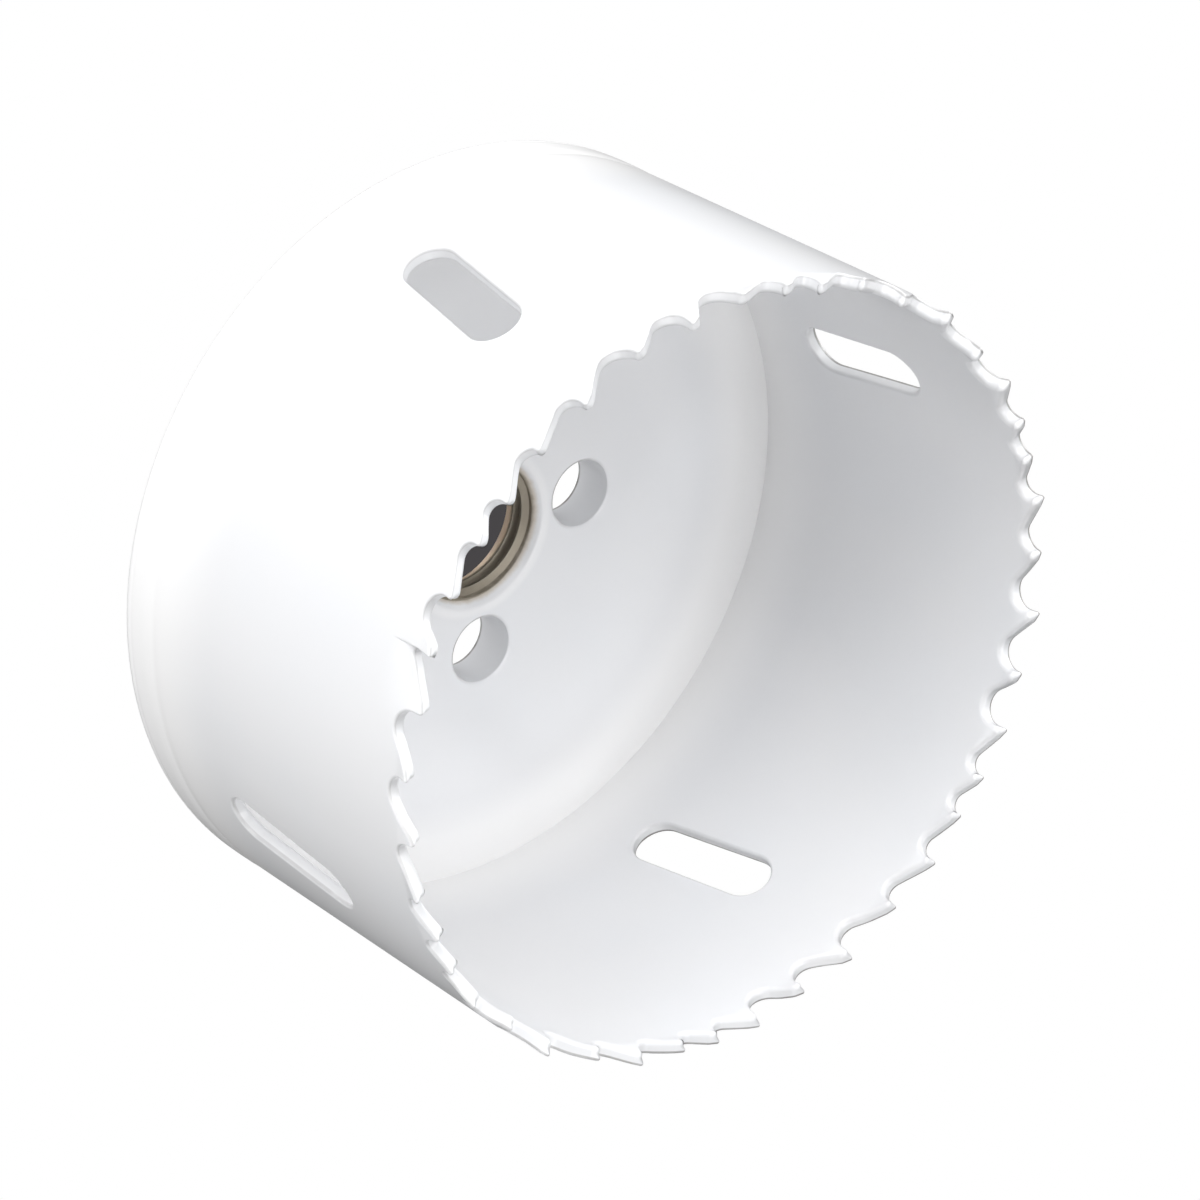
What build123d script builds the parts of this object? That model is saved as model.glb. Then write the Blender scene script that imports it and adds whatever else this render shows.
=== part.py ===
from build123d import *
import math
import os

os.makedirs("parts", exist_ok=True)

# Hole saw cup, 86 mm class, for 5/8-18 arbors.  Millimetres, +Z along the
# saw's axis with the teeth up, origin at the centre of the base's underside.

# ---- base plate: a stamped disc with the arbor thread and four drive holes
PLATE_R = 42.2
PLATE_T = 4.93
PLATE_EDGE_R = 1.2           # rolled-over lower rim
PLATE_BREAK_IN = 0.3         # bevel on the upper rim, across
PLATE_BREAK_DOWN = 0.37      # and down
BORE_R = 15.875 / 2          # 5/8 in thread, major radius
SINK_R = 8.8                 # 45 degree lead-in on the cup side
BORE_LIP = 0.4               # small chamfer on the underside
PIN_CIRCLE_R = 14.1
PIN_HOLE_R = 3.93
PIN_COUNT = 4
PIN_AZ = -21.7               # first drive hole, degrees from +X

# ---- shell: a toothed strip rolled into a tube
SHELL_R = 42.15
WALL = 1.52
SHELL_FOOT = 5.08            # lower edge of the strip, on the weld
TOP = 47.6                   # tooth tips
BEND = 45.70                 # the teeth are bent from this height
SET = 0.37                   # how far a set tooth leans at its tip

# ---- teeth: one pitch group of seven, met six times round the strip, and one
# closing pitch over the strip's butt joint.  For each tooth: the distance to
# the next one behind it, the depth of the gap between them, and the lean.
GROUP = (
    (5.64, 2.05, 1),
    (4.78, 1.95, 0),
    (5.71, 2.15, -1),
    (6.48, 2.35, 1),
    (7.32, 3.10, -1),
    (6.89, 3.05, 1),
    (6.42, 3.20, -1),
)
GROUP_COUNT = 6
CLOSING_DEPTH = 3.20
CLOSING_LEAN = 1
CLOSING_SHIFT = 0.5          # how far the last tooth stands nearer to the one ahead
JOINT_ROUND = 0.2            # gullet radius share of the gap the joint runs into
FIRST_TOOTH_AZ = -52.96
PITCH_R = 42.15
RAKE = 3.0                   # degrees, hooked forward
RELIEF = 23.0                # degrees, behind the cutting edge
RELIEF_LAND = 1.35
GULLET_ROUND = 0.64          # gullet radius as a share of its depth

# ---- slug slots, leaning with the teeth
SLOT_COUNT = 4
SLOT_LONG = 18.3
SLOT_WIDE = 5.75
SLOT_Z = 23.55
SLOT_LEAN = 10.0

# ---- weld: one ring of metal through the joint
WELD_REACH = 1.8             # how far it washes over the floor
WELD_FILL = 0.8              # share of the plate's bevel that it covers
WELD_WAIST_R = 41.95         # bottom of the groove it leaves outside


def tangent_plane(azimuth, radius, height):
    """A plane facing outward from the axis: local X runs round, Y runs up."""
    a = math.radians(azimuth)
    origin = (radius * math.cos(a), radius * math.sin(a), height)
    return Plane(
        origin=origin,
        x_dir=(-math.sin(a), math.cos(a), 0),
        z_dir=(math.cos(a), math.sin(a), 0),
    )


def ring(points):
    """Turn an outline drawn in (radius, height) round the axis."""
    outline = Polyline(*points, close=True)
    section = Plane.XZ * make_face(outline)
    return revolve(section, Axis.Z, 360)


def make_base_plate():
    k = PLATE_EDGE_R
    c = math.sqrt(0.5)
    with BuildSketch(Plane.XZ) as section:
        with BuildLine():
            Line((BORE_R + BORE_LIP, 0), (PLATE_R - k, 0))
            ThreePointArc(
                (PLATE_R - k, 0),
                (PLATE_R - k + k * c, k - k * c),
                (PLATE_R, k),
            )
            Polyline(
                (PLATE_R, k),
                (PLATE_R, PLATE_T - PLATE_BREAK_DOWN),
                (PLATE_R - PLATE_BREAK_IN, PLATE_T),
                (SINK_R, PLATE_T),
                (BORE_R, PLATE_T - (SINK_R - BORE_R)),
                (BORE_R, BORE_LIP),
                (BORE_R + BORE_LIP, 0),
            )
        make_face()
    plate = revolve(section.sketch, Axis.Z, 360)
    for n in range(PIN_COUNT):
        a = math.radians(PIN_AZ + n * 360 / PIN_COUNT)
        x = PIN_CIRCLE_R * math.cos(a)
        y = PIN_CIRCLE_R * math.sin(a)
        plate -= Pos(x, y, PLATE_T / 2) * Cylinder(PIN_HOLE_R, PLATE_T + 2)
    return plate


def make_weld():
    bevel_in = PLATE_BREAK_IN * (1 - WELD_FILL)
    bevel_down = PLATE_BREAK_DOWN * WELD_FILL
    outline = (
        (SHELL_R - WALL - WELD_REACH, PLATE_T),
        (SHELL_R - WALL, SHELL_FOOT),
        (SHELL_R - 0.25, SHELL_FOOT),
        (SHELL_R - 0.16, SHELL_FOOT + 0.18),
        (WELD_WAIST_R, SHELL_FOOT - 0.10),
        (PLATE_R - bevel_in, PLATE_T - bevel_down),
        (PLATE_R - PLATE_BREAK_IN, PLATE_T),
    )
    return ring(outline)


def gullet_outline(pitch, depth, round_share):
    """The gap cut between two teeth, tip to tip, seen from outside."""
    rake = math.radians(RAKE)
    relief = math.radians(RELIEF)
    r = round_share * depth
    yc = r - depth
    xc = (r + yc * math.sin(rake)) / math.cos(rake)
    foot = (xc - r * math.cos(rake), yc + r * math.sin(rake))
    heel = (
        pitch - RELIEF_LAND * math.cos(relief),
        -RELIEF_LAND * math.sin(relief),
    )
    reach = math.hypot(heel[0] - xc, heel[1] - yc)
    look = math.atan2(heel[1] - yc, heel[0] - xc)
    turn = look - math.acos(r / reach)
    run = (xc + r * math.cos(turn), yc + r * math.sin(turn))
    bottom = (xc, yc - r)
    return foot, bottom, run, heel


def gullet_cutter(azimuth, pitch, depth, round_share):
    """A tool for the gap that starts at the tooth standing at azimuth."""
    half = pitch / 2
    middle = azimuth + math.degrees(half / PITCH_R)
    foot, bottom, run, heel = gullet_outline(pitch, depth, round_share)
    place = tangent_plane(middle, SHELL_R - WALL - 3, TOP)
    with BuildSketch(place) as sketch:
        with BuildLine():
            Line((-half, 0), (foot[0] - half, foot[1]))
            ThreePointArc(
                (foot[0] - half, foot[1]),
                (bottom[0] - half, bottom[1]),
                (run[0] - half, run[1]),
            )
            Polyline(
                (run[0] - half, run[1]),
                (heel[0] - half, heel[1]),
                (half, 0),
                (half, 1.0),
                (-half, 1.0),
                (-half, 0),
            )
        make_face()
    return extrude(sketch.sketch, WALL + 7)


def tooth_block(azimuth, span, lean):
    """A leaning piece of the rim, long enough to carve one tooth from."""
    outer = SHELL_R
    inner = SHELL_R - WALL
    shift = SET * lean
    section = Polyline(
        (inner, BEND),
        (outer, BEND),
        (outer + shift, TOP),
        (inner + shift, TOP),
        close=True,
    )
    face = Plane.XZ * make_face(section)
    block = revolve(face, Axis.Z, span)
    return Rot(0, 0, azimuth) * block


def tooth_layout():
    """Each tooth's azimuth and lean, with the gap on its cutting side."""
    layout = []
    azimuth = FIRST_TOOTH_AZ
    gap = (0, CLOSING_DEPTH)
    for _ in range(GROUP_COUNT):
        for pitch, depth, lean in GROUP:
            layout.append([azimuth, lean, gap[0], gap[1], GULLET_ROUND])
            azimuth -= math.degrees(pitch / PITCH_R)
            gap = (pitch, depth)
    azimuth += math.degrees(CLOSING_SHIFT / PITCH_R)
    layout.append([azimuth, CLOSING_LEAN, gap[0] - CLOSING_SHIFT, gap[1], JOINT_ROUND])
    layout[0][2] = math.radians(azimuth + 360 - FIRST_TOOTH_AZ) * PITCH_R
    return layout


def make_shell():
    inner = SHELL_R - WALL
    body = ring(
        (
            (inner, SHELL_FOOT),
            (SHELL_R - 0.25, SHELL_FOOT),
            (SHELL_R, SHELL_FOOT + 0.5),
            (SHELL_R, BEND),
            (inner, BEND),
        )
    )
    layout = tooth_layout()
    cutters = [gullet_cutter(az, *gap) for az, _, *gap in layout]
    body = body - cutters
    for n, (az, lean, gap, _, _) in enumerate(layout):
        follower = (n + 1) % len(layout)
        back = math.degrees(0.75 * layout[follower][2] / PITCH_R)
        front = math.degrees(0.35 * gap / PITCH_R)
        block = tooth_block(az - back, back + front, lean)
        body = body + (block - cutters[n] - cutters[follower])
    for n in range(SLOT_COUNT):
        place = tangent_plane(n * 360 / SLOT_COUNT, inner - 3, SLOT_Z)
        with BuildSketch(place) as sketch:
            SlotOverall(SLOT_LONG, SLOT_WIDE, rotation=90 - SLOT_LEAN)
        body = body - extrude(sketch.sketch, WALL + 6)
    return body


def save(solid, name):
    solid.label = name
    export_step(solid, os.path.join("parts", name + ".step"))
    box = solid.bounding_box()
    print(name, round(solid.volume, 1), len(solid.solids()), box.min, box.max)


save(make_base_plate(), "base_plate")
save(make_weld(), "weld_ring")
save(make_shell(), "toothed_shell")
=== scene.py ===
import math

import bmesh
import bpy
import numpy as np
from mathutils import Matrix, Vector
from mathutils.geometry import delaunay_2d_cdt


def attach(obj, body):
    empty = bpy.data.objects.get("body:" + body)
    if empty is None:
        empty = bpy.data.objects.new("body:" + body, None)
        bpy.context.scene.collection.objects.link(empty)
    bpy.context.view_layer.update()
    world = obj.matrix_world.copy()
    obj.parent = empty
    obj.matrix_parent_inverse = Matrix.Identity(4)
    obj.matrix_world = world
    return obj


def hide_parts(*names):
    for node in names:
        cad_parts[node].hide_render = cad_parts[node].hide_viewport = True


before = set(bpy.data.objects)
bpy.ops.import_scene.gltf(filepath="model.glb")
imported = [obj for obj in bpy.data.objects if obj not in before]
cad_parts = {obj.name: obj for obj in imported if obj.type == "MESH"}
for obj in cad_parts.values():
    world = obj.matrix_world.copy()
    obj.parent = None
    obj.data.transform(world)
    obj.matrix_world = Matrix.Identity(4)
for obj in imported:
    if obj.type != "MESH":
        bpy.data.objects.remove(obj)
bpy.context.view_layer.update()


# ---------------------------------------------------------------- base plate
# The bottom of the cup: a stamped disc of mild steel with four punched holes
# for the arbor's drive pins.  Its sharp edges carry a thick coat of enamel,
# so each one is a small round.  The centre hole is bare where the tap cut.
mm = 0.001
round_steps = 240

plate_r = 42.20 * mm
plate_top = 4.93 * mm
plate_rim_r = 1.2 * mm
bore_r = 15.875 / 2 * mm
bore_lip = 0.4 * mm
sink_r = 8.8 * mm
pin_circle_r = 14.1 * mm
pin_hole_r = 3.93 * mm
pin_azimuth = -21.7
pin_steps = 72
pin_coat = 0.12 * mm
pin_bead = 0.12 * mm
pin_edge = (0.68 * mm, 0.22 * mm)
pin_foot = (0.12 * mm, 0.06 * mm)
pin_band = (0.12 * mm, 0.30 * mm)
# Painted shade on the drive holes' edges, step by step round each edge.
edge_shade_turn = (0, 0, 0, 0.5, 1.0, 1.0, 1.0)
# The side of the cup, 118° round, where the painted edge shade is heaviest.
edge_shade_side = math.radians(118)
waist_height = 5.0 * mm
waist_half = 0.85 * mm
waist_depth = 0.075 * mm
crease_height = 1.5 * mm
crease_half = 0.25 * mm
crease_depth = 0.035 * mm
plate_join = 4.70 * mm
tube_r = 42.15 * mm
tube_start = (4.6 * mm, 5.4 * mm)
rim_start = plate_rim_r + 0.1 * mm
foot_flat = 2.5 * mm
shelf_r = 41.5 * mm
shelf_slant = (0.7, 0.7)
bore_margin = (0.6 * mm, 0.5 * mm)
bore_rounds = (0.15 * mm, 0.1 * mm, 0.25 * mm, 0.5 * mm)


class Row:
    """A line of points on a skin, and the way the skin faces at each."""

    def __init__(self, index, facing):
        self.index = index
        self.facing = facing

    def faced(self, facing):
        return Row(self.index, facing)


class Skin:
    """The closed surface of one piece, laid down row by row."""

    def __init__(self):
        self.points = []
        self.edge_shade = []
        self.faces = []
        self.facing = []

    def row(self, points, facing, edge_shade=0.0):
        """Lay down a line of points, each with a weight of painted edge shade."""
        first = len(self.points)
        self.points.extend(points)
        self.edge_shade.extend(np.broadcast_to(edge_shade, len(points)).tolist())
        return Row(list(range(first, len(self.points))), list(facing))

    def face(self, corners):
        """Add one face from (index, facing) corners, leaving out doubled ones."""
        seen = [corners[0]]
        for corner in corners[1:]:
            if corner[0] != seen[-1][0] and corner[0] != seen[0][0]:
                seen.append(corner)
        if len(seen) > 2:
            self.faces.append([i for i, _ in seen])
            self.facing.extend(n for _, n in seen)

    def band(self, one, other, closed=True):
        """Join two rows with a band of faces."""
        count = len(one.index)
        for i in range(count if closed else count - 1):
            j = (i + 1) % count
            self.face(
                [
                    (one.index[i], one.facing[i]),
                    (one.index[j], one.facing[j]),
                    (other.index[j], other.facing[j]),
                    (other.index[i], other.facing[i]),
                ]
            )

    def tile(self, loops, loose):
        """Cover a flat face: loops of (index, u, v, facing) bound it, loose ones lie in it."""
        known = [point for loop in loops for point in loop] + loose
        ties = []
        first = 0
        for loop in loops:
            count = len(loop)
            ties += [(first + i, first + (i + 1) % count) for i in range(count)]
            first += count
        flat = [Vector((u / mm, v / mm)) for _, u, v, _ in known]
        made = delaunay_2d_cdt(flat, ties, [], 0, 1e-6)
        centres = np.array(
            [np.mean([made[0][i] for i in face], axis=0) for face in made[2]]
        )
        within = np.zeros(len(centres), bool)
        for loop in loops:
            edge = np.array([(u / mm, v / mm) for _, u, v, _ in loop])
            for (ax, ay), (bx, by) in zip(edge, np.roll(edge, -1, axis=0)):
                spans = (centres[:, 1] < ay) != (centres[:, 1] < by)
                if spans.any():
                    cross = ax + (centres[:, 1] - ay) * (bx - ax) / (by - ay + 1e-12)
                    within ^= spans & (centres[:, 0] < cross)
        for face, kept in zip(made[2], within):
            if kept:
                corners = [known[made[3][i][0]] for i in face]
                self.face([(c[0], c[3]) for c in corners])

    def mesh(self, name):
        """The finished mesh, with facing and the painted edge shade weights kept on it."""
        points = np.array(self.points)
        facing = np.array(self.facing)
        facing /= np.linalg.norm(facing, axis=1)[:, None]
        faces, lined, first = [], [], 0
        for face in self.faces:
            ways = facing[first:first + len(face)]
            first += len(face)
            a, b, c = points[face[0]], points[face[1]], points[face[-1]]
            lie = np.cross(b - a, c - a) @ ways.sum(axis=0)
            faces.append(face if lie > 0 else face[::-1])
            lined.extend(ways if lie > 0 else ways[::-1])
        mesh = bpy.data.meshes.new(name)
        mesh.from_pydata(points.tolist(), [], faces)
        mesh.update()
        kept = mesh.attributes.new("facing", "FLOAT_VECTOR", "CORNER")
        kept.data.foreach_set("vector", np.array(lined, np.float32).ravel())
        # Painted edge shade: how dark each point is painted.
        edge_shade_kept = mesh.attributes.new("edge_shade", "FLOAT", "POINT")
        edge_shade_kept.data.foreach_set("value", self.edge_shade)
        return mesh


def put_in_scene(name, data):
    """An object for a mesh, a lamp or the camera, in the scene."""
    piece = bpy.data.objects.new(name, data)
    bpy.context.scene.collection.objects.link(piece)
    return piece


def shade(mesh):
    """Turn a mesh's faces outwards and give it the facing kept in its corners."""
    loose = bmesh.new()
    loose.from_mesh(mesh)
    bmesh.ops.recalc_face_normals(loose, faces=loose.faces)
    loose.to_mesh(mesh)
    loose.free()
    kept = mesh.attributes["facing"]
    ways = np.zeros(len(mesh.loops) * 3, np.float32)
    kept.data.foreach_get("vector", ways)
    mesh.polygons.foreach_set("use_smooth", [True] * len(mesh.polygons))
    mesh.normals_split_custom_set(ways.reshape(-1, 3).tolist())
    mesh.attributes.remove(mesh.attributes["facing"])
    mesh.update()


def softened(corners, steps=6):
    """An outline of (radius, height, round) corners as (radius, height, facing) points."""
    made = []
    for k, (r, z, edge) in enumerate(corners):
        here = np.array((r, z))
        before = here - corners[k - 1][:2] if k else None
        after = corners[k + 1][:2] - here if k + 1 < len(corners) else None
        ways = []
        for run in (before, after):
            if run is not None:
                run = run / np.linalg.norm(run)
                ways.append((run, np.array((-run[1], run[0]))))
        if len(ways) == 1 or edge == 0:
            made += [(r, z, n) for _, n in ways]
            continue
        (d1, n1), (d2, _) = ways
        turn = math.atan2(d1[0] * d2[1] - d1[1] * d2[0], d1 @ d2)
        out = -math.copysign(1, turn)
        centre = here - d1 * edge * math.tan(abs(turn) / 2) - n1 * edge * out
        for s in range(steps + 1):
            a = turn * s / steps
            n = np.array(
                (
                    n1[0] * math.cos(a) - n1[1] * math.sin(a),
                    n1[0] * math.sin(a) + n1[1] * math.cos(a),
                )
            )
            p = centre + n * edge * out
            made.append((p[0], p[1], n))
    return made


def turned(skin, outline, count=round_steps):
    """Rows for an outline turned round the axis, joined one to the next."""
    rows = []
    for r, z, (nr, nz) in outline:
        around = [2 * math.pi * i / count for i in range(count)]
        facing = [(nr * math.cos(a), nr * math.sin(a), nz) for a in around]
        if rows and (r, z) == rows[-1][0]:
            row = rows[-1][1].faced(facing)
        else:
            points = [(r * math.cos(a), r * math.sin(a), z) for a in around]
            row = skin.row(points, facing)
        if rows:
            skin.band(rows[-1][1], row)
        rows.append(((r, z), row))
    return [row for _, row in rows]


def ramp(x, low, high):
    """0 below low, 1 above high, and a soft rise between, for plain numbers."""
    t = min(max((x - low) / (high - low), 0), 1)
    return t * t * (3 - 2 * t)


def waist(z):
    """The cup's outer radius near its foot: a crease above the rim, a waist at the weld."""
    straight = plate_r + (tube_r - plate_r) * ramp(z, *tube_start)
    crease = crease_depth * math.exp(-(((z - crease_height) / crease_half) ** 2))
    groove = waist_depth * math.exp(-(((z - waist_height) / waist_half) ** 2))
    return straight - crease - groove


def waist_line(low, high, steps):
    """The waist as (radius, height, facing) points."""
    made = []
    for s in range(steps + 1):
        z = low + (high - low) * s / steps
        slope = (waist(z + 1e-6) - waist(z - 1e-6)) / 2e-6
        made.append((waist(z), z, np.array((1, -slope)) / math.hypot(1, slope)))
    return made


def flat_loop(skin, row):
    """A row that lies level, as a loop for tiling."""
    return [
        (i, skin.points[i][0], skin.points[i][1], n)
        for i, n in zip(row.index, row.facing)
    ]


plate_skin = Skin()
rim = softened(
    [
        (waist(rim_start), rim_start, 0),
        (plate_r, 0, plate_rim_r),
        (plate_r - foot_flat, 0, 0),
    ],
    steps=10,
)
shoulder = waist_line(plate_join, rim_start, 34)
shelf = [
    (shelf_r, plate_top, np.array((0, 1.0))),
    (shelf_r, plate_top, np.array(shelf_slant)),
    (shoulder[0][0], plate_join, np.array(shelf_slant)),
]
outside = turned(plate_skin, shelf + shoulder + rim[1:])
floor_edge = outside[0]
foot_edge = outside[-1]
bore_line = softened(
    [
        (bore_r + bore_lip + bore_margin[0], 0, 0),
        (bore_r + bore_lip, 0, bore_rounds[0]),
        (bore_r, bore_lip, bore_rounds[1]),
        (bore_r, plate_top - (sink_r - bore_r), bore_rounds[2]),
        (sink_r, plate_top, bore_rounds[3]),
        (sink_r + bore_margin[1], plate_top, 0),
    ]
)
bore_rows = turned(plate_skin, bore_line)
up = (0, 0, 1)
down = (0, 0, -1)
floor_loops = [
    flat_loop(plate_skin, floor_edge.faced([up] * round_steps)),
    flat_loop(plate_skin, bore_rows[-1].faced([up] * round_steps)),
]
foot_loops = [
    flat_loop(plate_skin, foot_edge.faced([down] * round_steps)),
    flat_loop(plate_skin, bore_rows[0].faced([down] * round_steps)),
]
for n in range(4):
    spot = math.radians(pin_azimuth + 90 * n)
    cx, cy = pin_circle_r * math.cos(spot), pin_circle_r * math.sin(spot)
    hole = []
    for height, (across, deep), side in ((plate_top, pin_edge, 1), (0, pin_foot, -1)):
        narrowed = pin_coat if side > 0 else pin_coat + pin_bead
        for s, edge_shade in enumerate(edge_shade_turn):
            a = math.radians(90 / (len(edge_shade_turn) - 1) * s)
            r = pin_hole_r - narrowed + across * (1 - math.sin(a))
            z = height - side * deep * (1 - math.cos(a))
            turn = (math.sin(a) / across, side * math.cos(a) / deep)
            hole.append((r, z, *turn, edge_shade, side))
        for below, edge_shade in zip(pin_band, (1.0, 0)):
            hole.append((r, z - side * below, 1, 0, edge_shade, side))
    middle = len(hole) // 2
    hole = hole[:middle] + hole[:middle - 1:-1]
    rows = []
    around = [2 * math.pi * i / pin_steps for i in range(pin_steps)]
    for r, z, inward, upward, edge_shade, side in hole:
        # Painted shade: a drive hole's top edge is painted darkest on one side, its foot edge
        # on the other.
        edge_shade_by_side = [0.5 - 0.5 * side * math.cos(a - edge_shade_side) for a in around]
        rows.append(
            plate_skin.row(
                [(cx + r * math.cos(a), cy + r * math.sin(a), z) for a in around],
                [(-inward * math.cos(a), -inward * math.sin(a), upward) for a in around],
                [edge_shade * share**2 for share in edge_shade_by_side],
            )
        )
    for one, other in zip(rows, rows[1:]):
        plate_skin.band(one, other)
    floor_loops.append(flat_loop(plate_skin, rows[0]))
    foot_loops.append(flat_loop(plate_skin, rows[-1]))
plate_skin.tile(floor_loops, [])
plate_skin.tile(foot_loops, [])
base_plate = put_in_scene("painted_base_plate", plate_skin.mesh("painted_base_plate"))
shade(base_plate.data)


class Reading:
    """One socket in a sum: an expression on readings adds its Math nodes."""

    def __init__(self, bench, socket):
        self.bench = bench
        self.socket = socket

    def maths(self, operation, *others):
        node = self.bench.tree.nodes.new("ShaderNodeMath")
        node.operation = operation
        for place, value in enumerate((self, *others)):
            self.bench.feed(node.inputs[place], value)
        return Reading(self.bench, node.outputs[0])

    def __add__(self, other):
        return self.maths("ADD", other)

    __radd__ = __add__

    def __mul__(self, other):
        return self.maths("MULTIPLY", other)

    __rmul__ = __mul__

    def __sub__(self, other):
        return self.maths("SUBTRACT", other)

    def __rsub__(self, other):
        return (self * -1).maths("ADD", other)

    def __truediv__(self, other):
        return self.maths("DIVIDE", other)

    def __pow__(self, other):
        return self.maths("POWER", other)


class Bench:
    """A node tree to work on, and the one way of putting a node in it."""

    def __init__(self, tree):
        self.tree = tree
        tree.nodes.clear()

    def feed(self, socket, value):
        if isinstance(value, Reading):
            self.tree.links.new(value.socket, socket)
        else:
            socket.default_value = value

    def node(self, kind, settings=None, sockets=None):
        node = self.tree.nodes.new(kind)
        for name, value in (settings or {}).items():
            setattr(node, name, value)
        for name, value in (sockets or {}).items():
            self.feed(node.inputs[name], value)
        return node

    def out(self, kind, settings=None, sockets=None, output=0):
        node = self.node(kind, settings, sockets)
        return Reading(self, node.outputs[output])

    def blend(self, share, one, other):
        node = self.node("ShaderNodeMix", {"data_type": "RGBA"})
        for place, value in ((0, share), (6, one), (7, other)):
            if not isinstance(value, Reading) and place:
                value = (*value, 1)
            self.feed(node.inputs[place], value)
        return Reading(self, node.outputs[2])

    def end_in(self, shader, kind="ShaderNodeOutputMaterial"):
        end = self.node(kind)
        self.tree.links.new(shader.outputs[0], end.inputs[0])


def parts_of(vector):
    """The x, y and z of a vector, as three readings."""
    bench = vector.bench
    split = bench.node("ShaderNodeSeparateXYZ", None, {0: vector})
    return [Reading(bench, s) for s in split.outputs]


def noise(place, scale, detail, rough):
    """A cloudy pattern, 0 to 1."""
    return place.bench.out(
        "ShaderNodeTexNoise", None,
        {"Vector": place, "Scale": scale, "Detail": detail, "Roughness": rough},
    )


def new_finish(name):
    """A new material and its bench, with the piece's own place to read patterns by."""
    material = bpy.data.materials.new(name)
    material.use_nodes = True
    bench = Bench(material.node_tree)
    return material, bench, bench.out("ShaderNodeTexCoord", output=3)


def step_up(reading, low, high):
    """0 below low, 1 above high, and a soft step between."""
    bench = reading.bench
    return bench.out(
        "ShaderNodeMapRange",
        {"interpolation_type": "SMOOTHSTEP"},
        {"Value": reading, "From Min": low, "From Max": high},
    )


enamel_white = (0.87, 0.873, 0.886)
# The whiter tone of the painted corner light and the painted highlight ring.
painted_light_white = (0.985, 0.983, 0.985)
enamel_thin = (0.84, 0.855, 0.882)
speck_brown = (0.42, 0.36, 0.30)
# The dark grey of the painted edge shade.
edge_shade_grey = (0.19, 0.175, 0.16)
enamel_rough = (0.29, 0.08)
coat_share = 0.5
cloud_scale = 60.0
patch_scale = 420.0
grain_scale = 150.0
peel_scale = 520.0
sag_scale = 75.0
# Where the painted corner light lies: distance from the axis, and height.
corner_light_span = (31 * mm, 37.5 * mm)
corner_light_height = (6 * mm, 16 * mm)


def enamel(name):
    """Sprayed white enamel: faint clouds where it went on thin, dust, orange peel, painted
    edge shade and a painted light in the inner corner.
    """
    material, bench, place = new_finish(name)
    clouds = noise(place, cloud_scale, 2.0, 0.5)
    px, py, pz = parts_of(place)
    # Painted light: the floor near the inner corner and the wall's foot are painted whiter,
    # against the shade that falls there.
    corner = step_up((px * px + py * py) ** 0.5, *corner_light_span)
    corner = corner * (1 - step_up(pz, *corner_light_height))
    colour = bench.blend(step_up(clouds, 0.25, 0.85) * 0.6, enamel_white, enamel_thin)
    colour = bench.blend(corner, colour, painted_light_white)
    # Painted shade: edges are painted dark grey in patches, by the weights kept on the mesh.
    edge_shade = bench.out("ShaderNodeAttribute", {"attribute_name": "edge_shade"}, output=2)
    patchy = noise(place, patch_scale, 2.0, 0.6)
    colour = bench.blend(edge_shade * step_up(patchy, 0.0, 0.6), colour, edge_shade_grey)
    grains = bench.node(
        "ShaderNodeTexVoronoi", {"feature": "F1"}, {"Vector": place, "Scale": grain_scale}
    )
    grain_colour = Reading(bench, grains.outputs["Color"])
    pick = bench.out("ShaderNodeSeparateColor", None, {0: grain_colour})
    near = 1 - step_up(Reading(bench, grains.outputs["Distance"]), 0.012, 0.034)
    speck = near * step_up(pick, 0.985, 0.99)
    colour = bench.blend(speck * 0.35, colour, speck_brown)
    peel = noise(place, peel_scale, 2.0, 0.5)
    sag = noise(place, sag_scale, 1.0, 0.5)
    rough = enamel_rough[0] + clouds * enamel_rough[1] + speck * 0.3
    bump = bench.out(
        "ShaderNodeBump", None,
        {"Strength": 0.35, "Distance": 0.00006, "Height": peel * 0.35 + sag},
    )
    surface = bench.node(
        "ShaderNodeBsdfPrincipled", None,
        {
            "Base Color": colour,
            "Roughness": rough,
            "Normal": bump,
            "IOR": 1.5,
            "Coat Weight": coat_share,
            "Coat Roughness": 0.16,
        },
    )
    bench.end_in(surface)
    return material, bench, surface, colour, rough


bare_edge_r = 7.95 * mm
bare_edge_high = 0.16 * mm
bare_fringe = 0.24 * mm
bare_ragged = 0.30 * mm
thin_side_span = (5.2 * mm, 7.9 * mm)
steel_dark = (0.27, 0.236, 0.186)
steel_worked = (0.37, 0.33, 0.265)
steel_straw = (0.93, 0.76, 0.58)
fringe_beige = (0.62, 0.56, 0.48)
steel_shine = 0.5
steel_rough_span = (0.34, 0.25)
stain_scale = 620.0
stain_waver = 0.6 * mm
straw_height = (1.15 * mm, 1.6 * mm)
straw_tilt = 0.044
# How strong the painted highlight ring is.
highlight_ring_share = 0.5


def bared_steel(bench, place):
    """Tapped steel, brown near the top of the hole and lighter, straw-coloured lower down."""
    side, _, height = parts_of(place)
    stain = noise(place, stain_scale, 4.0, 0.62)
    level = height + (stain - 0.5) * stain_waver + side * straw_tilt
    straw = 1 - step_up(level, *straw_height)
    worked = bench.blend(stain, steel_dark, steel_worked)
    rough = steel_rough_span[0] + stain * steel_rough_span[1]
    return bench.blend(straw, worked, steel_straw), rough


# Where the painted highlight ring round the arbor hole lies, measured from the axis.
highlight_ring_span = (8.5 * mm, 9.0 * mm, 9.3 * mm, 10.1 * mm)

base_paint, bench, surface, colour, rough = enamel("base_enamel")
place = bench.out("ShaderNodeTexCoord", output=3)
px, py, pz = parts_of(place)
span = (px * px + py * py) ** 0.5
ragged = noise(place, 900.0, 3.0, 0.6)
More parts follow.
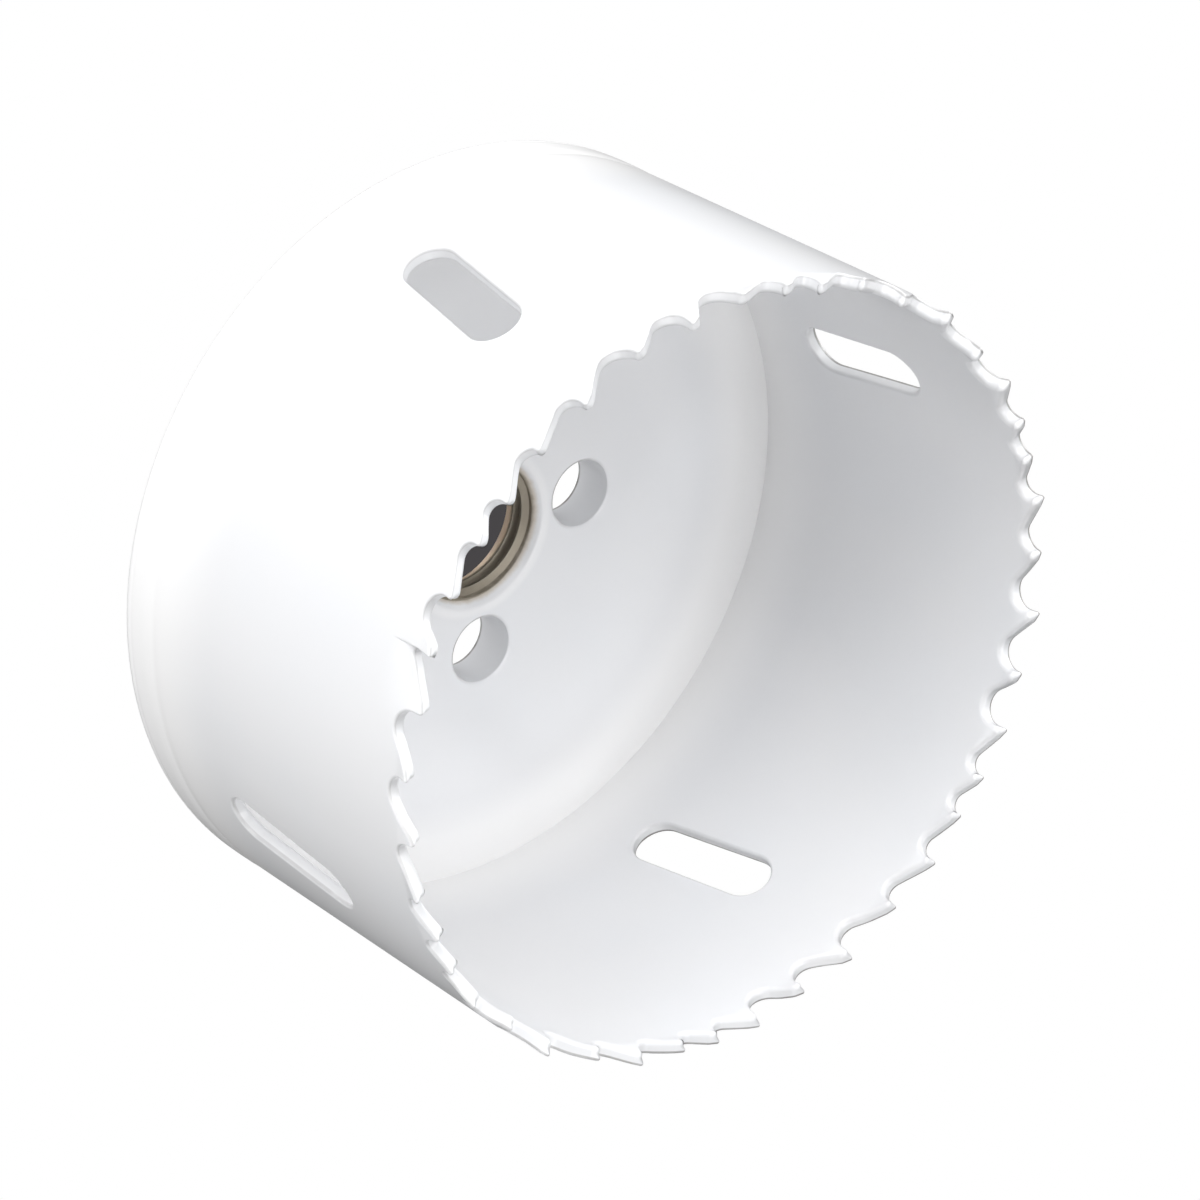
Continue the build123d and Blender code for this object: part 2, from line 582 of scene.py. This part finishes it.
# Painted highlight: a whiter ring round the lead-in cone of the arbor hole.
highlight_ring = step_up(span, *highlight_ring_span[:2]) * (1 - step_up(span, *highlight_ring_span[2:])) * highlight_ring_share
colour = bench.blend(highlight_ring, colour, painted_light_white)
thin_side = step_up(px * -1, *thin_side_span) * bare_edge_high
edge = thin_side + bare_edge_r + (ragged - 0.5) * bare_ragged
bare = 1 - step_up(span - edge, -0.6 * bare_fringe, 0.6 * bare_fringe)
fringe = 1 - step_up(span - edge, 0.0, bare_fringe * 2.2)
steel, steel_rough = bared_steel(bench, place)
edged = bench.blend(fringe, colour, fringe_beige)
bench.feed(surface.inputs["Base Color"], bench.blend(bare, edged, steel))
bench.feed(surface.inputs["Roughness"], rough + bare * (steel_rough - rough))
bench.feed(surface.inputs["Metallic"], bare * steel_shine)
bench.feed(surface.inputs["Coat Weight"], coat_share - bare * coat_share)
base_plate.data.materials.append(base_paint)
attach(base_plate, "root")
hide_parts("base_plate")


# ------------------------------------------------------------- toothed shell
# The side of the cup: a strip of bi-metal steel.  The teeth are milled and
# set and the slots punched while it is flat, then it is rolled into a tube,
# butted end to end and painted.  One group of seven teeth comes six times.
wall = 1.52 * mm
shell_foot = 5.25 * mm
shell_foot_inside = 5.02 * mm
tooth_top = 47.6 * mm
bend_height = 45.70 * mm
tooth_set = 0.37 * mm
bend_softness = 0.12

tooth_group = (
    (5.64, 2.05, 1),
    (4.78, 1.95, 0),
    (5.71, 2.15, -1),
    (6.48, 2.35, 1),
    (7.32, 3.10, -1),
    (6.89, 3.05, 1),
    (6.42, 3.20, -1),
)
group_count = 6
closing_depth = 3.20
closing_lean = 1
closing_shift = 0.5 * mm
first_tooth_azimuth = -52.96
rake = math.radians(3)
relief = math.radians(23)
relief_land = 1.35 * mm
gullet_round = 0.64
joint_round = 0.2
heel_round = 1.1 * mm
tooth_edge_r = (0.25 * mm, 0.60 * mm)

slot_half = (18.3 - 5.75) / 2 * mm
slot_r = 5.75 / 2 * mm
slot_height = 23.55 * mm
slot_lean = math.radians(10)
slot_edge_r = (0.36 * mm, 0.40 * mm)
slot_count = 4
slot_end_steps = 24
slot_side_steps = 12

# Painted shade on the cut edges of teeth and slots, step by step round each edge.
edge_shade_outside = (0, 0, 0.2, 0.8, 1.0, 1.0)
edge_shade_inside = (0, 0.05, 0.12, 0.12, 0.05, 0)
edge_shade_least = 0.28
cut_flat = 0.12 * mm
lean_swap = 0.4 * mm
gullet_step = 0.36 * mm

seam_azimuth = -45.1
seam_half = 0.12 * mm
seam_depth = 0.05 * mm
sprung_in = 0.65 * mm
sprung_long = 8 * mm
sprung_height = (42.4 * mm, 45 * mm)
seam_height = (42 * mm, 44 * mm)


def tooth_layout():
    """(tip, lean, pitch, depth, round) for each tooth, by distance round the tube."""
    made = []
    tip = math.radians(first_tooth_azimuth) * tube_r
    pitch, depth = 0, closing_depth * mm
    for _ in range(group_count):
        for next_pitch, next_depth, lean in tooth_group:
            made.append([tip, lean, pitch, depth, gullet_round])
            tip -= next_pitch * mm
            pitch, depth = next_pitch * mm, next_depth * mm
    tip += closing_shift
    made.append([tip, closing_lean, pitch - closing_shift, depth, joint_round])
    made[0][2] = tip + strip_long - made[0][0]
    return made


def gullet_run(tip, pitch, depth, round_share, keel):
    """(point, facing) pairs from a tooth's edge, through its gullet, to the next edge."""
    r = round_share * depth
    drop = r - depth
    across = (r + drop * math.sin(rake)) / math.cos(rake)
    centre = np.array((tip + across, tooth_top + drop))
    heel = np.array(
        (
            tip + pitch - relief_land * math.cos(relief),
            tooth_top - relief_land * math.sin(relief),
        )
    )
    reach = heel - centre
    turn = math.atan2(reach[1], reach[0]) - math.acos(r / np.linalg.norm(reach))
    rake_way = np.array((math.cos(rake), -math.sin(rake)))
    land_way = np.array((-math.sin(relief), math.cos(relief)))
    run_way = np.array((-math.cos(turn), -math.sin(turn)))

    def corner(point, one, other, edge=keel):
        return point - edge * (one + other) / (1 + one @ other)

    def fan(point, one, other, steps):
        made = []
        a = math.atan2(one[1], one[0])
        b = math.atan2(other[1], other[0])
        for s in range(steps + 1):
            t = a + (b - a) * s / steps
            made.append((point, np.array((math.cos(t), math.sin(t)))))
        return made

    def straight(a, b, way, steps):
        return [(a + (b - a) * s / steps, way) for s in range(1, steps)]

    edge = corner(np.array((tip, tooth_top)), land_way, rake_way)
    made = fan(edge, land_way, rake_way, 7)
    foot = centre - (r + keel) * rake_way
    made += straight(edge, foot, rake_way, 3)
    start, stop = math.pi - rake, 2 * math.pi + turn
    arc = []
    count = max(10, round(r * (stop - start) / gullet_step))
    for s in range(count + 1):
        t = start + (stop - start) * s / count
        way = -np.array((math.cos(t), math.sin(t)))
        arc.append((centre - (r + keel) * way, way))
    made += arc
    middle = corner(heel, run_way, land_way, heel_round)
    back = [
        (middle + (heel_round - keel) * way, way)
        for _, way in fan(middle, run_way, land_way, 5)
    ]
    made += straight(arc[-1][0], back[0][0], run_way, 4)
    made += back
    last = corner(np.array((tip + pitch, tooth_top)), land_way, rake_way)
    made += straight(back[-1][0], last, land_way, 4)
    return made, centre[0]


strip_long = 2 * math.pi * tube_r
teeth = tooth_layout()[::-1]
half = len(teeth) // 2
teeth = teeth[half:] + [[tip + strip_long, *rest] for tip, *rest in teeth[:half]]
rim_runs = []
for keel in tooth_edge_r:
    runs, gullets = [], []
    for tip, lean, *gap in teeth:
        run, lowest = gullet_run(tip, *gap, keel)
        gullets.append((lowest, lean))
        runs.append(run)
    first_run = runs[0]
    cut = min(range(len(first_run)), key=lambda i: first_run[i][0][1])
    runs[0] = first_run[cut:]
    once_round = np.array((strip_long, 0))
    runs.append([(point + once_round, way) for point, way in first_run[:cut + 1]])
    rim_runs.append([pair for run in runs for pair in run])
strip_start = rim_runs[0][0][0][0]

lean_breaks = np.array([x for x, _ in gullets] + [gullets[0][0] + strip_long])
lean_after = np.array([lean for _, lean in gullets[1:]] + [gullets[0][1]])


def lean_at(x):
    """Which way the tooth over x is set; it swaps over at the foot of the gullet."""
    k = int(np.clip(np.searchsorted(lean_breaks, x) - 1, 0, len(lean_after) - 1))
    here = lean_after[k]
    before, after = lean_after[k - 1], lean_after[(k + 1) % len(lean_after)]
    left, right = (
        ramp(x, at - lean_swap, at + lean_swap) for at in lean_breaks[k:k + 2]
    )
    return before * (1 - left) + here * (left - right) + after * right


seam_x = math.radians(seam_azimuth) * tube_r


def sprung(x, z):
    """How far in the strip's end stands beside the butt seam, dying away round and down."""
    past = (x - seam_x + 0.1 * mm) % strip_long
    fade = ramp(past, 0, 0.2 * mm) * (1 - ramp(past, 1.5 * mm, sprung_long))
    return sprung_in * fade * ramp(z, *sprung_height)


def sunk(x, z, outer):
    """How far the painted face lies below the true tube, over the weld and the seam."""
    low = tube_r - waist(z) if outer and z < 7 * mm else 0
    seam = seam_depth * math.exp(-(((x - seam_x) / seam_half) ** 2))
    return low + seam * ramp(z, *seam_height)


def on_face(x, z, outer):
    """A point on the outer or inner face of the flat strip, and its facing."""
    side = 1 if outer else -1
    tiny = 1e-6

    def below(x, z):
        return sunk(x, z, outer) + side * sprung(x, z)

    across = (below(x + tiny, z) - below(x - tiny, z)) / (2 * tiny)
    upward = (below(x, z + tiny) - below(x, z - tiny)) / (2 * tiny)
    y = (0 if outer else -wall) - side * below(x, z)
    return (x, y, z), (across, side, upward)


def rounded_hole(skin, runs, edges, closed):
    """The cut edge of the strip, round on both faces; gives its first row on each face."""
    rows = []
    turns = [(0, angle, edge_shade) for angle, edge_shade in zip(range(0, 91, 18), edge_shade_outside)]
    turns += [(0, 90, 0), (1, 90, 0)]
    turns += [(1, angle, edge_shade) for angle, edge_shade in zip(range(90, -1, -18), edge_shade_inside)]
    for k, (inner, angle, edge_shade) in enumerate(turns):
        edge = edges[inner]
        a = math.radians(angle)
        drop = edge * (1 - math.cos(a))
        if k in (len(edge_shade_outside), len(edge_shade_outside) + 1):
            drop += cut_flat
        points, ways, last = [], [], None
        repeat = []
        for point, way in runs[inner]:
            p = point + way * edge * math.sin(a)
            if last is not None and np.allclose(last, p, atol=1e-9):
                repeat.append(len(points) - 1)
            else:
                repeat.append(len(points))
                level = drop + sunk(p[0], p[1], not inner) * math.cos(a)
                y = (level - wall if inner else -level) - sprung(p[0], p[1])
                points.append((p[0], y, p[1]))
            last = p
            side = -math.cos(a) if inner else math.cos(a)
            ways.append((way[0] * math.sin(a), side, way[1] * math.sin(a)))
        # Painted shade: edges darken most on the side 118° round the cup, never below the
        # least share.
        edge_shade_by_side = [0.5 + 0.5 * math.cos(x / tube_r - edge_shade_side) for x, _, _ in points]
        row = skin.row(points, ways, [edge_shade * max(edge_shade_least, share) for share in edge_shade_by_side])
        first = row.index[0]
        rows.append(Row([first + k for k in repeat], ways))
    for one, other in zip(rows, rows[1:]):
        skin.band(one, other, closed)
    return rows[0], rows[-1]


def face_loop(skin, row, outer):
    """A row's points, once each, as a loop for tiling one face of the strip."""
    made, last = [], None
    for i in row.index:
        if i != last:
            x, _, z = skin.points[i]
            made.append((i, x, z, on_face(x, z, outer)[1]))
        last = i
    return made


shell_skin = Skin()
rim_rows = rounded_hole(shell_skin, rim_runs, tooth_edge_r, False)
slot_rows = []
for n in range(-slot_count // 2, slot_count // 2):
    centre = np.array((n * strip_long / slot_count, slot_height))
    along = np.array((math.sin(slot_lean), math.cos(slot_lean)))
    across = np.array((along[1], -along[0]))
    runs = []
    for edge in slot_edge_r:
        pairs = []
        for end, turn in ((1, 0), (-1, math.pi)):
            for s in range(slot_end_steps + 1):
                a = turn + math.pi * s / slot_end_steps
                way = across * math.cos(a) + along * math.sin(a)
                middle = centre + along * slot_half * end
                pairs.append((middle + way * (slot_r + edge), -way))
            begin = pairs[-1][0]
            finish = centre - along * slot_half * end + (begin - middle)
            for s in range(1, slot_side_steps):
                pairs.append((begin + (finish - begin) * s / slot_side_steps, -way))
        runs.append(pairs)
    slot_rows.append(rounded_hole(shell_skin, runs, slot_edge_r, True))

columns = 220
seam_columns = 3
seam_column = 0.1 * mm
seam_low = 28 * mm
clear_of_edge = 0.35 * mm
clear_by_seam = 0.08 * mm
seam_band = 0.31 * mm
levels = [5.25, 5.4, 5.55, 5.7, 5.85, 6.1, 6.6] + [8 + 2.1 * k for k in range(17)]
levels += [43.2, 44.4, 45.2, 45.55, 45.85, 46.2, 46.7]
feet = []
for side, outer in enumerate((True, False)):
    rim_loop = face_loop(shell_skin, rim_rows[side], outer)
    hole_loops = [face_loop(shell_skin, rows[side], outer) for rows in slot_rows]
    foot = shell_foot if outer else shell_foot_inside
    heights = [z * mm for z in levels if z * mm > foot + 0.05 * mm]
    end_height = rim_loop[0][2]

    def lay(spots):
        """Put loose points on this face of the strip, ready for tiling."""
        placed = [on_face(x, z, outer) for x, z in spots]
        row = shell_skin.row([p for p, _ in placed], [n for _, n in placed])
        return [
            (i, x, z, n) for i, (x, z), n in zip(row.index, spots, row.facing)
        ]

    step = strip_long / columns
    foot_loop = lay([(strip_start + step * c, foot) for c in range(columns + 1)])
    ends = [z for z in heights if z < end_height - 0.4 * mm]
    right = lay([(strip_start + strip_long, z) for z in ends])
    left = lay([(strip_start, z) for z in ends])
    outline = foot_loop + right + rim_loop[::-1] + left[::-1]
    spots = [(strip_start + step * c, z) for c in range(1, columns) for z in heights]
    spots += [
        (seam_x + k * seam_column, z)
        for k in range(-seam_columns, seam_columns + 1)
        for z in heights
        if z > seam_low
    ]
    edges = np.array([(u, v) for loop in [outline, *hole_loops] for _, u, v, _ in loop])
    kept = []
    for spot in spots:
        gap = np.abs(edges - spot)
        near = clear_of_edge if abs(spot[0] - seam_x) > seam_band else clear_by_seam
        if np.hypot(gap[:, 0], gap[:, 1]).min() > near:
            kept.append(spot)
    shell_skin.tile([outline, *hole_loops], lay(kept))
    feet.append(Row([i for i, *_ in foot_loop], [(0, 0, -1)] * len(foot_loop)))
shell_skin.band(feet[0], feet[1], False)
flat_strip = shell_skin.mesh("toothed_strip")
lean_kept = flat_strip.attributes.new("lean", "FLOAT", "POINT")
lean_kept.data.foreach_set("value", [lean_at(v.co.x) for v in flat_strip.vertices])
shell = put_in_scene("painted_toothed_shell", flat_strip)
shell_paint = enamel("shell_enamel")[0]


def tree_with(name, sizes):
    """A Geometry Nodes tree with named inputs for its sizes."""
    tree = bpy.data.node_groups.new(name, "GeometryNodeTree")
    face = tree.interface
    face.new_socket("Geometry", in_out="INPUT", socket_type="NodeSocketGeometry")
    for title in sizes:
        face.new_socket(title, in_out="INPUT", socket_type="NodeSocketFloat")
    face.new_socket("Finish", in_out="INPUT", socket_type="NodeSocketMaterial")
    face.new_socket("Geometry", in_out="OUTPUT", socket_type="NodeSocketGeometry")
    bench = Bench(tree)
    given = bench.node("NodeGroupInput")
    handed = bench.node("NodeGroupOutput")
    return bench, {s.name: Reading(bench, s) for s in given.outputs if s.name}, handed


def hand_over(bench, geometry, given, handed):
    """End a tree: real geometry, in its finish."""
    real = bench.out("GeometryNodeRealizeInstances", None, {"Geometry": geometry})
    finished = bench.out(
        "GeometryNodeSetMaterial", None, {"Geometry": real, "Material": given["Finish"]}
    )
    bench.feed(handed.inputs[0], finished)


def run_tree(obj, bench, sizes, finish):
    """Let the tree make its mesh once, then keep that as the object's plain mesh."""
    modifier = obj.modifiers.new("make", "NODES")
    modifier.node_group = bench.tree
    for item in bench.tree.interface.items_tree:
        if item.in_out == "INPUT" and item.name in sizes:
            modifier[item.identifier] = sizes[item.name]
        if item.in_out == "INPUT" and item.name == "Finish":
            modifier[item.identifier] = finish
    held = bpy.context.evaluated_depsgraph_get()
    made = bpy.data.meshes.new_from_object(obj.evaluated_get(held))
    made.name = obj.name
    obj.modifiers.remove(modifier)
    obj.data = made


butt_gap = 0.002 * mm
roll_sizes = {
    "Tube radius": tube_r,
    "Bend height": bend_height,
    "Tip height": tooth_top,
    "Set at tip": tooth_set,
    "Bend softness": bend_softness,
}
roll, given, handed = tree_with("roll_the_strip", roll_sizes)


def kept_reading(bench, name, kind):
    """What an earlier step left on the mesh under a name."""
    return bench.out("GeometryNodeInputNamedAttribute", {"data_type": kind}, {"Name": name})


along, depth_in, height = parts_of(roll.out("GeometryNodeInputPosition"))
way_along, way_out, way_up = parts_of(kept_reading(roll, "facing", "FLOAT_VECTOR"))
lean = kept_reading(roll, "lean", "FLOAT")
tooth_height = given["Tip height"] - given["Bend height"]
share = (height - given["Bend height"]) / tooth_height
soft = given["Bend softness"]
eased = (share + soft).maths("MAXIMUM", 0.0).maths("MINIMUM", soft * 2)
leaning = lean * given["Set at tip"]
push = (eased * eased / (soft * 4) + (share - soft).maths("MAXIMUM", 0.0)) * leaning
tilt = leaning / tooth_height * eased / (soft * 2)
angle = along / given["Tube radius"]
reach = given["Tube radius"] + depth_in + push
sine, cosine = angle.maths("SINE"), angle.maths("COSINE")
rolled_place = roll.out(
    "ShaderNodeCombineXYZ", None, {0: reach * cosine, 1: reach * sine, 2: height}
)
way_round = way_along * given["Tube radius"] / reach
rolled_way = roll.out(
    "ShaderNodeCombineXYZ",
    None,
    {
        0: way_out * cosine - way_round * sine,
        1: way_out * sine + way_round * cosine,
        2: way_up - way_out * tilt,
    },
)
kept_way = roll.out(
    "GeometryNodeStoreNamedAttribute",
    {"data_type": "FLOAT_VECTOR", "domain": "CORNER"},
    {"Geometry": given["Geometry"], "Name": "facing", "Value": rolled_way},
)
bent = roll.out(
    "GeometryNodeSetPosition", None, {"Geometry": kept_way, "Position": rolled_place}
)
turned_out = roll.out("GeometryNodeFlipFaces", None, {"Mesh": bent})
butted = roll.out(
    "GeometryNodeMergeByDistance", None, {"Geometry": turned_out, "Distance": butt_gap}
)
hand_over(roll, butted, given, handed)
run_tree(shell, roll, roll_sizes, shell_paint)
shade(shell.data)
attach(shell, "root")
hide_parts("toothed_shell")


# ----------------------------------------------------------------- weld ring
# The strip is welded to the disc all round in one pass.  Inside, the metal
# washes out over the floor as a shallow ramp under the paint; outside, it
# leaves the faint waist above the rim.
weld_steps = 720
weld_reach = 2.6 * mm
weld_rise = 0.42 * mm
weld_wander = 0.2 * mm
weld_waves = ((0.45, 9, 0.7), (0.30, 23, 2.1), (0.25, 41, 4.0))
weld_under_wall = 0.05 * mm
weld_in_floor = 0.004 * mm
weld_slices = 8
weld_root = (0.5 * mm, 0.25 * mm)

weld_skin = Skin()
inner_wall_r = tube_r - wall
weld_top = waist_line(shell_foot, plate_join, 12)
weld_rows = []
profile = []
for s in range(weld_slices + 1):
    t = s / weld_slices
    profile.append((1 - t, t * t * (1.9 - 0.9 * t)))
around = [2 * math.pi * i / weld_steps for i in range(weld_steps)]


def wander(a):
    """How the edge of the weld strays from true as the torch goes round."""
    return sum(size * math.sin(waves * a + start) for size, waves, start in weld_waves)


for k, (out_share, rise_share) in enumerate(profile):
    points, ways = [], []
    for a in around:
        stray = wander(a) * weld_wander * out_share
        r = inner_wall_r + weld_under_wall - (weld_reach + weld_under_wall) * out_share + stray
        z = plate_top - weld_in_floor + weld_rise * rise_share
        ahead = profile[min(k + 1, weld_slices)]
        behind = profile[max(k - 1, 0)]
        slope = (ahead[1] - behind[1]) * weld_rise
        slope /= (behind[0] - ahead[0]) * weld_reach
        points.append((r * math.cos(a), r * math.sin(a), z))
        ways.append((-slope * math.cos(a), -slope * math.sin(a), 1))
    weld_rows.append(weld_skin.row(points, ways))
for one, other in zip(weld_rows, weld_rows[1:]):
    weld_skin.band(one, other)


def weld_turn(r, z, facing):
    """One line of the weld turned round the axis."""
    return weld_skin.row(
        [(r * math.cos(a), r * math.sin(a), z) for a in around],
        [(facing[0] * math.cos(a), facing[0] * math.sin(a), facing[1]) for a in around],
    )


outer_rows = [weld_turn(r, z, n) for r, z, n in weld_top]
for one, other in zip(outer_rows, outer_rows[1:]):
    weld_skin.band(one, other)
level = [(0, 0, 1)] * weld_steps
under = [(0, 0, -1)] * weld_steps
weld_skin.band(weld_rows[-1].faced(level), outer_rows[0].faced(level))
hidden = weld_turn(inner_wall_r - weld_reach + weld_root[0], plate_top - weld_root[1], (0, -1))
weld_skin.band(outer_rows[-1].faced(under), hidden)
weld_skin.band(hidden, weld_rows[0].faced(under))
weld = put_in_scene("painted_weld_ring", weld_skin.mesh("painted_weld_ring"))
shade(weld.data)
weld.data.materials.append(enamel("weld_enamel")[0])
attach(weld, "root")
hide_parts("weld_ring")


# ------------------------------------------------------------- arbor thread
# The 5/8-18 thread is tapped after the blank is stamped and masked while the
# cup is sprayed, so it stays bare.  A right-hand ridge climbs the bore and
# runs out where the lead-in cone cuts it away.
thread_pitch = 25.4 / 18 * mm
thread_crest_r = 7.2 * mm
thread_turns = 3.4
thread_start = thread_pitch - 1.6 * mm
thread_phase = 35.0
thread_bite = 0.1 * mm
thread_foot = 0.02 * mm
thread_head = 4.6 * mm
thread_clear = 0.01 * mm
thread_shares = (0.90, 0.25)
thread_round_steps = 96
thread_sharp = math.radians(35)

thread_sizes = {
    "Pitch": thread_pitch,
    "Root radius": bore_r,
    "Crest radius": thread_crest_r,
    "Turns": thread_turns,
    "Start height": thread_start,
    "Start angle": math.radians(thread_phase),
    "Cone height": plate_top - (sink_r - bore_r),
    "Bite": thread_bite,
    "Foot": thread_foot,
    "Head": thread_head,
}
ridge, given, handed = tree_with("cut_the_thread", thread_sizes)
height_all = given["Pitch"] * given["Turns"]
tooth_deep = given["Root radius"] - given["Crest radius"] + given["Bite"]
middle_r = given["Crest radius"] + tooth_deep * 0.5
helix = ridge.out(
    "GeometryNodeCurveSpiral",
    None,
    {
        "Resolution": thread_round_steps,
        "Rotations": given["Turns"],
        "Start Radius": middle_r,
        "End Radius": middle_r,
        "Height": height_all,
        "Reverse": True,
    },
)
upright = ridge.out("GeometryNodeSetCurveNormal", {"mode": "Z_UP"}, {"Curve": helix})
section = ridge.out(
    "GeometryNodeCurvePrimitiveQuadrilateral",
    {"mode": "TRAPEZOID"},
    {
        "Bottom Width": given["Pitch"] * thread_shares[0],
        "Top Width": given["Pitch"] * thread_shares[1],
        "Offset": 0.0,
        "Height": tooth_deep,
    },
)
section = ridge.out(
    "GeometryNodeTransform", None,
    {"Geometry": section, "Rotation": (0, 0, math.pi / 2)},
)
swept = ridge.out(
    "GeometryNodeCurveToMesh",
    None,
    {"Curve": upright, "Profile Curve": section, "Fill Caps": True},
)
sx, sy, sz = parts_of(ridge.out("GeometryNodeInputPosition"))
sz = sz + given["Start height"]
swung = sy.maths("ARCTAN2", sx) + given["Start angle"]
span = (sx * sx + sy * sy) ** 0.5
sz = sz.maths("MAXIMUM", given["Foot"]).maths("MINIMUM", given["Head"])
cone = given["Root radius"] + (sz - given["Cone height"]) + thread_clear
lip = given["Root radius"] - sz
cut_back = span.maths("MAXIMUM", cone).maths("MAXIMUM", lip)
trued = ridge.out(
    "ShaderNodeCombineXYZ",
    None,
    {
        0: cut_back * swung.maths("COSINE"),
        1: cut_back * swung.maths("SINE"),
        2: sz,
    },
)
cut_mesh = ridge.out("GeometryNodeSetPosition", None, {"Geometry": swept, "Position": trued})
hand_over(ridge, cut_mesh, given, handed)

thread_steel, bench, place = new_finish("thread_steel")
steel, steel_rough = bared_steel(bench, place)
chatter = noise(place, 1500.0, 2.0, 0.5)
torn = bench.out(
    "ShaderNodeBump", None, {"Strength": 0.4, "Distance": 0.00005, "Height": chatter}
)
surface = bench.node(
    "ShaderNodeBsdfPrincipled", None,
    {"Base Color": steel, "Metallic": steel_shine, "Roughness": steel_rough, "Normal": torn},
)
bench.end_in(surface)

thread = put_in_scene("arbor_thread_ridge", bpy.data.meshes.new("arbor_thread_ridge"))
run_tree(thread, ridge, thread_sizes, thread_steel)
thread.data.polygons.foreach_set("use_smooth", [True] * len(thread.data.polygons))
thread.data.set_sharp_from_angle(angle=thread_sharp)
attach(thread, "root")


# --------------------------------------------------------------------- stage
# A plain white floor that glows a little, so it stays white right up to the
# cup, with a painted shadow, a dark round below the arbor hole, and soft light
# from above and the sides.
floor_half = 3.0
floor_height = -0.0002
# The dark of the painted shadow below the arbor hole.
painted_shadow_dark = (0.066, 0.062, 0.065)
floor_white = (1.0, 1.0, 1.0)
# Where the painted shadow below the arbor hole ends.
painted_shadow_round = (8.7 * mm, 9.2 * mm)
# Painted shade: for light on the cup, the floor under it glows less.
shaded_round = (38 * mm, 42 * mm)
shaded_share = 0.20
stage_mesh = bpy.data.meshes.new("studio_floor")
stage_mesh.from_pydata(
    [
        (x * floor_half, y * floor_half, floor_height)
        for x, y in ((-1, -1), (1, -1), (1, 1), (-1, 1))
    ],
    [],
    [(0, 1, 2, 3)],
)
studio_floor = put_in_scene("studio_floor", stage_mesh)
floor_finish, bench, place = new_finish("floor_white")
fx, fy, _ = parts_of(place)
out_from_axis = (fx * fx + fy * fy) ** 0.5
seen = bench.out("ShaderNodeLightPath")
# Painted shadow: the floor is dark below the arbor hole.
clear_of_painted_shadow = step_up(out_from_axis, *painted_shadow_round)
shaded = step_up(out_from_axis, *shaded_round)
# Painted shade under the cup for light rays only; the painted shadow below the arbor hole for
# all rays.
lit = clear_of_painted_shadow * (1 - (1 - seen) * (1 - shaded) * shaded_share)
tone = bench.blend(lit, painted_shadow_dark, floor_white)
glow = bench.node("ShaderNodeEmission", None, {"Color": tone, "Strength": 1.0})
bench.end_in(glow)
stage_mesh.materials.append(floor_finish)
studio_floor.visible_glossy = False
studio_floor.visible_shadow = False

camera_data = bpy.data.cameras.new("camera")
camera = put_in_scene("camera", camera_data)
camera_data.sensor_width = 36.0
camera_data.lens = 140.01
camera_data.clip_start = 0.01
camera_data.clip_end = 20.0
camera_right = Vector((-0.71090, 0.29765, 0.63721))
camera_up = Vector((-0.61444, -0.70368, -0.35679))
camera_back = Vector((0.34219, -0.64517, 0.68313))
turned_to = Matrix((camera_right, camera_up, camera_back)).transposed().to_4x4()
camera_place = (0.164661, -0.310762, 0.354065)
camera.matrix_world = Matrix.Translation(camera_place) @ turned_to
bpy.context.scene.camera = camera

world = bpy.data.worlds.new("studio")
bpy.context.scene.world = world
world.use_nodes = True
bench = Bench(world.node_tree)
seen = bench.out("ShaderNodeLightPath")
sky_light = 0.03
sky = bench.node(
    "ShaderNodeBackground", None,
    {"Color": (1, 1, 1, 1), "Strength": seen * (1 - sky_light) + sky_light},
)
bench.end_in(sky, "ShaderNodeOutputWorld")

bpy.context.scene.view_settings.view_transform = "Standard"


softbox_wide = 0.7
softbox_aim = Vector((0, 0, 0.024))
softboxes = (
    ("key_low", -90, 8, 5.1),
    ("front_low", -45, 8, 2.8),
    ("front_high", -90, 35, 2.3),
    ("left_high", -135, 35, 3.2),
    ("overhead", 0, 90, 4.3),
    ("right_high", 45, 35, 1.9),
    ("rear_low", 180, 8, 4.9),
)
for name, azimuth, elevation, watts in softboxes:
    light = bpy.data.lights.new(name, "AREA")
    light.shape = "DISK"
    light.size = softbox_wide
    light.energy = watts
    lamp = put_in_scene(name, light)
    a, e = math.radians(azimuth), math.radians(elevation)
    way = Vector((math.cos(a) * math.cos(e), math.sin(a) * math.cos(e), math.sin(e)))
    lamp.location = way + softbox_aim
    lamp.rotation_euler = way.to_track_quat("Z", "Y").to_euler()
